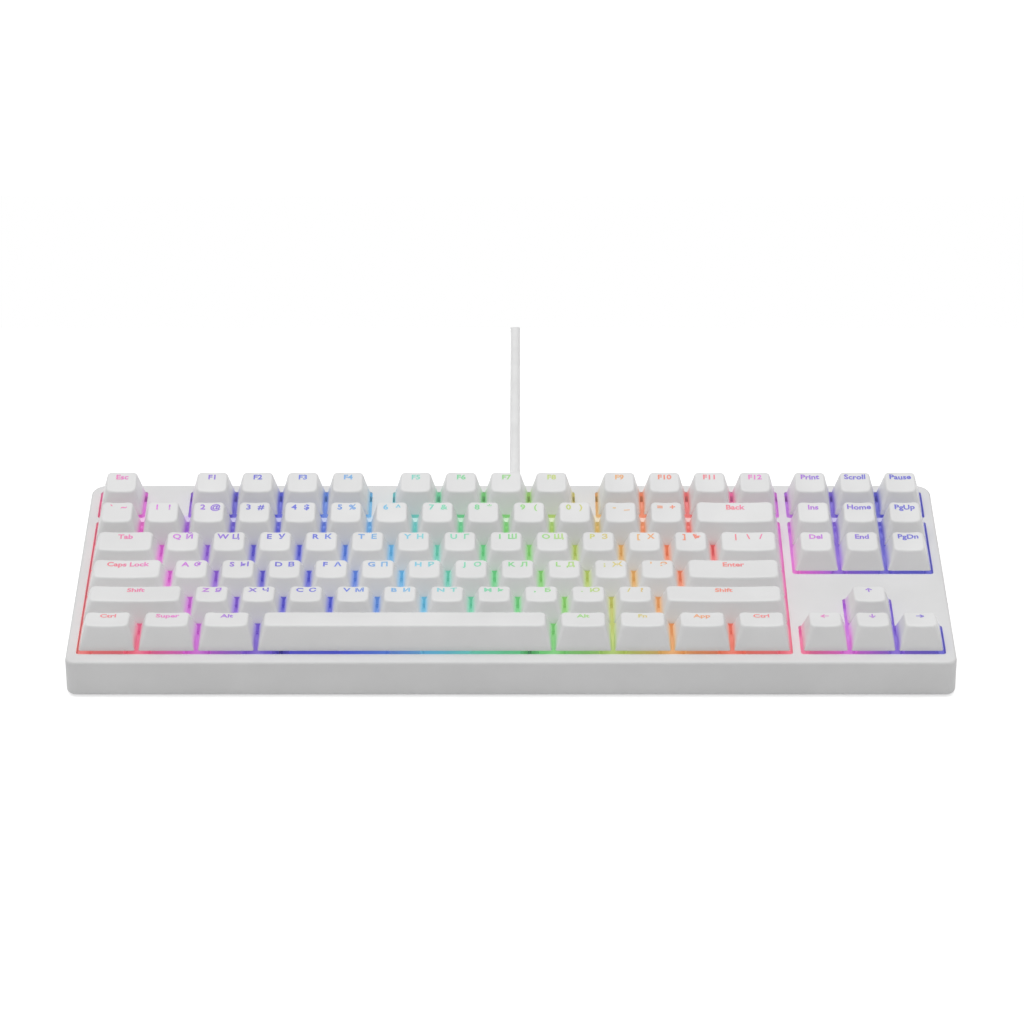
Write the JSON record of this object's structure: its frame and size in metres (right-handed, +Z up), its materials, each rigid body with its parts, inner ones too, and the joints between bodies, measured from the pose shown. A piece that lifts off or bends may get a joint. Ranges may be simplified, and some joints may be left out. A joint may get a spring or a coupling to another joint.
{
  "type": "mechanical keyboard",
  "caption": "Wired tenkeyless mechanical keyboard: flat sloping case, key blocks in separate openings, stabilised wide keys, flip-out feet, and a coiled cord with its plug.",
  "frame": {"origin": "on the desk under the middle of the case", "axes": "+X to the typist's right, +Y away from the typist, +Z up"},
  "size_m": [0.356, 0.4258, 0.0391],
  "materials": {
    "top_case": "fine matt light grey",
    "bottom_case": "fine matt light grey",
    "switch_plate": "white powder coat",
    "circuit_board": "white solder mask",
    "damping_pad": "soft matt",
    "switch_lower_housings": "milky",
    "switch_upper_housings": "milky, lets light through",
    "switch_springs": "plated wire",
    "key_leds": "small moulded light",
    "stabiliser_housings": "milky",
    "plate_screws": "plated",
    "controller_chips": "moulded",
    "board_connector": "moulded",
    "inner_lead": "smooth sheath",
    "case_screws": "plated",
    "rubber_pads": "matt",
    "strain_relief": "matt",
    "cord": "smooth matt sheath",
    "plug_grip": "matt",
    "plug_shell": "nickel plated",
    "cord_tie": "woven strap",
    "stabiliser_wire": "polished wire",
    "foot": "fine matt",
    "keycap": "fine matt, legends let light through"
  },
  "bodies": {
    "case": {"top_case": "top_case", "bottom_case": "bottom_case", "switch_plate": "switch_plate", "circuit_board": "circuit_board", "damping_pad": "damping_pad", "switch_lower_housings": "switch_lower_housings", "switch_upper_housings": "switch_upper_housings", "switch_springs": "switch_springs", "key_leds": "key_leds", "stabiliser_housings": "stabiliser_housings", "plate_screws": "plate_screws", "controller_chips": "controller_chips", "board_connector": "board_connector", "inner_lead": "inner_lead", "case_screws": "case_screws", "rubber_pads": "rubber_pads", "strain_relief": "strain_relief", "cord": "cord", "cord_coil": "cord", "cord_end": "cord", "cord_tie": "cord_tie", "plug_grip": "plug_grip", "plug_shell": "plug_shell"},
    "key_left_control": {"key_left_control": "keycap"},
    "key_left_system": {"key_left_system": "keycap"},
    "key_left_alt": {"key_left_alt": "keycap"},
    "key_space": {"key_space": "keycap"},
    "key_right_alt": {"key_right_alt": "keycap"},
    "key_function_layer": {"key_function_layer": "keycap"},
    "key_menu": {"key_menu": "keycap"},
    "key_right_control": {"key_right_control": "keycap"},
    "key_left_shift": {"key_left_shift": "keycap"},
    "keys_lower_letters": {"keys_lower_letters": "keycap"},
    "key_right_shift": {"key_right_shift": "keycap"},
    "key_caps_lock": {"key_caps_lock": "keycap"},
    "keys_home_letters": {"keys_home_letters": "keycap"},
    "key_enter": {"key_enter": "keycap"},
    "key_tab": {"key_tab": "keycap"},
    "keys_upper_letters": {"keys_upper_letters": "keycap"},
    "key_backslash": {"key_backslash": "keycap"},
    "keys_numbers": {"keys_numbers": "keycap"},
    "key_backspace": {"key_backspace": "keycap"},
    "key_escape": {"key_escape": "keycap"},
    "keys_f1_to_f4": {"keys_f1_to_f4": "keycap"},
    "keys_f5_to_f8": {"keys_f5_to_f8": "keycap"},
    "keys_f9_to_f12": {"keys_f9_to_f12": "keycap"},
    "keys_print_group": {"keys_print_group": "keycap"},
    "keys_navigation": {"keys_navigation": "keycap"},
    "key_arrow_up": {"key_arrow_up": "keycap"},
    "key_arrow_left": {"key_arrow_left": "keycap"},
    "key_arrow_down": {"key_arrow_down": "keycap"},
    "key_arrow_right": {"key_arrow_right": "keycap"},
    "stabiliser_wire_space": {"stabiliser_wire_space": "stabiliser_wire"},
    "stabiliser_wire_left_shift": {"stabiliser_wire_left_shift": "stabiliser_wire"},
    "stabiliser_wire_right_shift": {"stabiliser_wire_right_shift": "stabiliser_wire"},
    "stabiliser_wire_enter": {"stabiliser_wire_enter": "stabiliser_wire"},
    "stabiliser_wire_backspace": {"stabiliser_wire_backspace": "stabiliser_wire"},
    "left_foot": {"left_foot": "foot"},
    "right_foot": {"right_foot": "foot"}
  },
  "joints": [
    {"name": "key_left_control_travel", "type": "slide", "parent": "case", "child": "key_left_control", "axis": [0, 0.0872, -0.9962], "range_m": [0, 0.004], "stiffness_N_per_m": 60, "springref_m": -0.0056, "deforming": ["switch_springs"]},
    {"name": "key_left_system_travel", "type": "slide", "parent": "case", "child": "key_left_system", "axis": [0, 0.0872, -0.9962], "range_m": [0, 0.004], "stiffness_N_per_m": 60, "springref_m": -0.0056, "deforming": ["switch_springs"]},
    {"name": "key_left_alt_travel", "type": "slide", "parent": "case", "child": "key_left_alt", "axis": [0, 0.0872, -0.9962], "range_m": [0, 0.004], "stiffness_N_per_m": 60, "springref_m": -0.0056, "deforming": ["switch_springs"]},
    {"name": "key_space_travel", "type": "slide", "parent": "case", "child": "key_space", "axis": [0, 0.0872, -0.9962], "range_m": [0, 0.004], "stiffness_N_per_m": 60, "springref_m": -0.0056, "deforming": ["switch_springs"]},
    {"name": "key_right_alt_travel", "type": "slide", "parent": "case", "child": "key_right_alt", "axis": [0, 0.0872, -0.9962], "range_m": [0, 0.004], "stiffness_N_per_m": 60, "springref_m": -0.0056, "deforming": ["switch_springs"]},
    {"name": "key_function_layer_travel", "type": "slide", "parent": "case", "child": "key_function_layer", "axis": [0, 0.0872, -0.9962], "range_m": [0, 0.004], "stiffness_N_per_m": 60, "springref_m": -0.0056, "deforming": ["switch_springs"]},
    {"name": "key_menu_travel", "type": "slide", "parent": "case", "child": "key_menu", "axis": [0, 0.0872, -0.9962], "range_m": [0, 0.004], "stiffness_N_per_m": 60, "springref_m": -0.0056, "deforming": ["switch_springs"]},
    {"name": "key_right_control_travel", "type": "slide", "parent": "case", "child": "key_right_control", "axis": [0, 0.0872, -0.9962], "range_m": [0, 0.004], "stiffness_N_per_m": 60, "springref_m": -0.0056, "deforming": ["switch_springs"]},
    {"name": "key_left_shift_travel", "type": "slide", "parent": "case", "child": "key_left_shift", "axis": [0, 0.0872, -0.9962], "range_m": [0, 0.004], "stiffness_N_per_m": 60, "springref_m": -0.0056, "deforming": ["switch_springs"]},
    {"name": "keys_lower_letters_travel", "type": "slide", "parent": "case", "child": "keys_lower_letters", "axis": [0, 0.0872, -0.9962], "range_m": [0, 0.004], "stiffness_N_per_m": 600, "springref_m": -0.0056, "deforming": ["switch_springs"]},
    {"name": "key_right_shift_travel", "type": "slide", "parent": "case", "child": "key_right_shift", "axis": [0, 0.0872, -0.9962], "range_m": [0, 0.004], "stiffness_N_per_m": 60, "springref_m": -0.0056, "deforming": ["switch_springs"]},
    {"name": "key_caps_lock_travel", "type": "slide", "parent": "case", "child": "key_caps_lock", "axis": [0, 0.0872, -0.9962], "range_m": [0, 0.004], "stiffness_N_per_m": 60, "springref_m": -0.0056, "deforming": ["switch_springs"]},
    {"name": "keys_home_letters_travel", "type": "slide", "parent": "case", "child": "keys_home_letters", "axis": [0, 0.0872, -0.9962], "range_m": [0, 0.004], "stiffness_N_per_m": 660, "springref_m": -0.0056, "deforming": ["switch_springs"]},
    {"name": "key_enter_travel", "type": "slide", "parent": "case", "child": "key_enter", "axis": [0, 0.0872, -0.9962], "range_m": [0, 0.004], "stiffness_N_per_m": 60, "springref_m": -0.0056, "deforming": ["switch_springs"]},
    {"name": "key_tab_travel", "type": "slide", "parent": "case", "child": "key_tab", "axis": [0, 0.0872, -0.9962], "range_m": [0, 0.004], "stiffness_N_per_m": 60, "springref_m": -0.0056, "deforming": ["switch_springs"]},
    {"name": "keys_upper_letters_travel", "type": "slide", "parent": "case", "child": "keys_upper_letters", "axis": [0, 0.0872, -0.9962], "range_m": [0, 0.004], "stiffness_N_per_m": 720, "springref_m": -0.0056, "deforming": ["switch_springs"]},
    {"name": "key_backslash_travel", "type": "slide", "parent": "case", "child": "key_backslash", "axis": [0, 0.0872, -0.9962], "range_m": [0, 0.004], "stiffness_N_per_m": 60, "springref_m": -0.0056, "deforming": ["switch_springs"]},
    {"name": "keys_numbers_travel", "type": "slide", "parent": "case", "child": "keys_numbers", "axis": [0, 0.0872, -0.9962], "range_m": [0, 0.004], "stiffness_N_per_m": 780, "springref_m": -0.0056, "deforming": ["switch_springs"]},
    {"name": "key_backspace_travel", "type": "slide", "parent": "case", "child": "key_backspace", "axis": [0, 0.0872, -0.9962], "range_m": [0, 0.004], "stiffness_N_per_m": 60, "springref_m": -0.0056, "deforming": ["switch_springs"]},
    {"name": "key_escape_travel", "type": "slide", "parent": "case", "child": "key_escape", "axis": [0, 0.0872, -0.9962], "range_m": [0, 0.004], "stiffness_N_per_m": 60, "springref_m": -0.0056, "deforming": ["switch_springs"]},
    {"name": "keys_f1_to_f4_travel", "type": "slide", "parent": "case", "child": "keys_f1_to_f4", "axis": [0, 0.0872, -0.9962], "range_m": [0, 0.004], "stiffness_N_per_m": 240, "springref_m": -0.0056, "deforming": ["switch_springs"]},
    {"name": "keys_f5_to_f8_travel", "type": "slide", "parent": "case", "child": "keys_f5_to_f8", "axis": [0, 0.0872, -0.9962], "range_m": [0, 0.004], "stiffness_N_per_m": 240, "springref_m": -0.0056, "deforming": ["switch_springs"]},
    {"name": "keys_f9_to_f12_travel", "type": "slide", "parent": "case", "child": "keys_f9_to_f12", "axis": [0, 0.0872, -0.9962], "range_m": [0, 0.004], "stiffness_N_per_m": 240, "springref_m": -0.0056, "deforming": ["switch_springs"]},
    {"name": "keys_print_group_travel", "type": "slide", "parent": "case", "child": "keys_print_group", "axis": [0, 0.0872, -0.9962], "range_m": [0, 0.004], "stiffness_N_per_m": 180, "springref_m": -0.0056, "deforming": ["switch_springs"]},
    {"name": "keys_navigation_travel", "type": "slide", "parent": "case", "child": "keys_navigation", "axis": [0, 0.0872, -0.9962], "range_m": [0, 0.004], "stiffness_N_per_m": 360, "springref_m": -0.0056, "deforming": ["switch_springs"]},
    {"name": "key_arrow_up_travel", "type": "slide", "parent": "case", "child": "key_arrow_up", "axis": [0, 0.0872, -0.9962], "range_m": [0, 0.004], "stiffness_N_per_m": 60, "springref_m": -0.0056, "deforming": ["switch_springs"]},
    {"name": "key_arrow_left_travel", "type": "slide", "parent": "case", "child": "key_arrow_left", "axis": [0, 0.0872, -0.9962], "range_m": [0, 0.004], "stiffness_N_per_m": 60, "springref_m": -0.0056, "deforming": ["switch_springs"]},
    {"name": "key_arrow_down_travel", "type": "slide", "parent": "case", "child": "key_arrow_down", "axis": [0, 0.0872, -0.9962], "range_m": [0, 0.004], "stiffness_N_per_m": 60, "springref_m": -0.0056, "deforming": ["switch_springs"]},
    {"name": "key_arrow_right_travel", "type": "slide", "parent": "case", "child": "key_arrow_right", "axis": [0, 0.0872, -0.9962], "range_m": [0, 0.004], "stiffness_N_per_m": 60, "springref_m": -0.0056, "deforming": ["switch_springs"]},
    {"name": "stabiliser_wire_space_pivot", "type": "hinge", "parent": "case", "child": "stabiliser_wire_space", "pos_m": [-0.04251, -0.05732, 0.00857], "axis": [-1, 0, 0], "range_deg": [0, 25]},
    {"name": "stabiliser_wire_left_shift_pivot", "type": "hinge", "parent": "case", "child": "stabiliser_wire_left_shift", "pos_m": [-0.15204, -0.03834, 0.01023], "axis": [-1, 0, 0], "range_deg": [0, 25]},
    {"name": "stabiliser_wire_right_shift_pivot", "type": "hinge", "parent": "case", "child": "stabiliser_wire_right_shift", "pos_m": [0.08608, -0.03834, 0.01023], "axis": [-1, 0, 0], "range_deg": [0, 25]},
    {"name": "stabiliser_wire_enter_pivot", "type": "hinge", "parent": "case", "child": "stabiliser_wire_enter", "pos_m": [0.09084, -0.01937, 0.01189], "axis": [-1, 0, 0], "range_deg": [0, 25]},
    {"name": "stabiliser_wire_backspace_pivot", "type": "hinge", "parent": "case", "child": "stabiliser_wire_backspace", "pos_m": [0.09323, 0.01859, 0.01521], "axis": [-1, 0, 0], "range_deg": [0, 25]},
    {"name": "left_foot_fold", "type": "hinge", "parent": "case", "child": "left_foot", "pos_m": [-0.134, 0.04183, 0.0024], "axis": [1, 0, 0], "range_deg": [0, 85]},
    {"name": "right_foot_fold", "type": "hinge", "parent": "case", "child": "right_foot", "pos_m": [0.134, 0.04183, 0.0024], "axis": [1, 0, 0], "range_deg": [0, 85]}
  ],
  "couplings": [
    {"joint": "stabiliser_wire_space_pivot", "follows": "key_space_travel", "rad_per_m": 108.84},
    {"joint": "stabiliser_wire_left_shift_pivot", "follows": "key_left_shift_travel", "rad_per_m": 108.84},
    {"joint": "stabiliser_wire_right_shift_pivot", "follows": "key_right_shift_travel", "rad_per_m": 108.84},
    {"joint": "stabiliser_wire_enter_pivot", "follows": "key_enter_travel", "rad_per_m": 108.84},
    {"joint": "stabiliser_wire_backspace_pivot", "follows": "key_backspace_travel", "rad_per_m": 108.84}
  ]
}
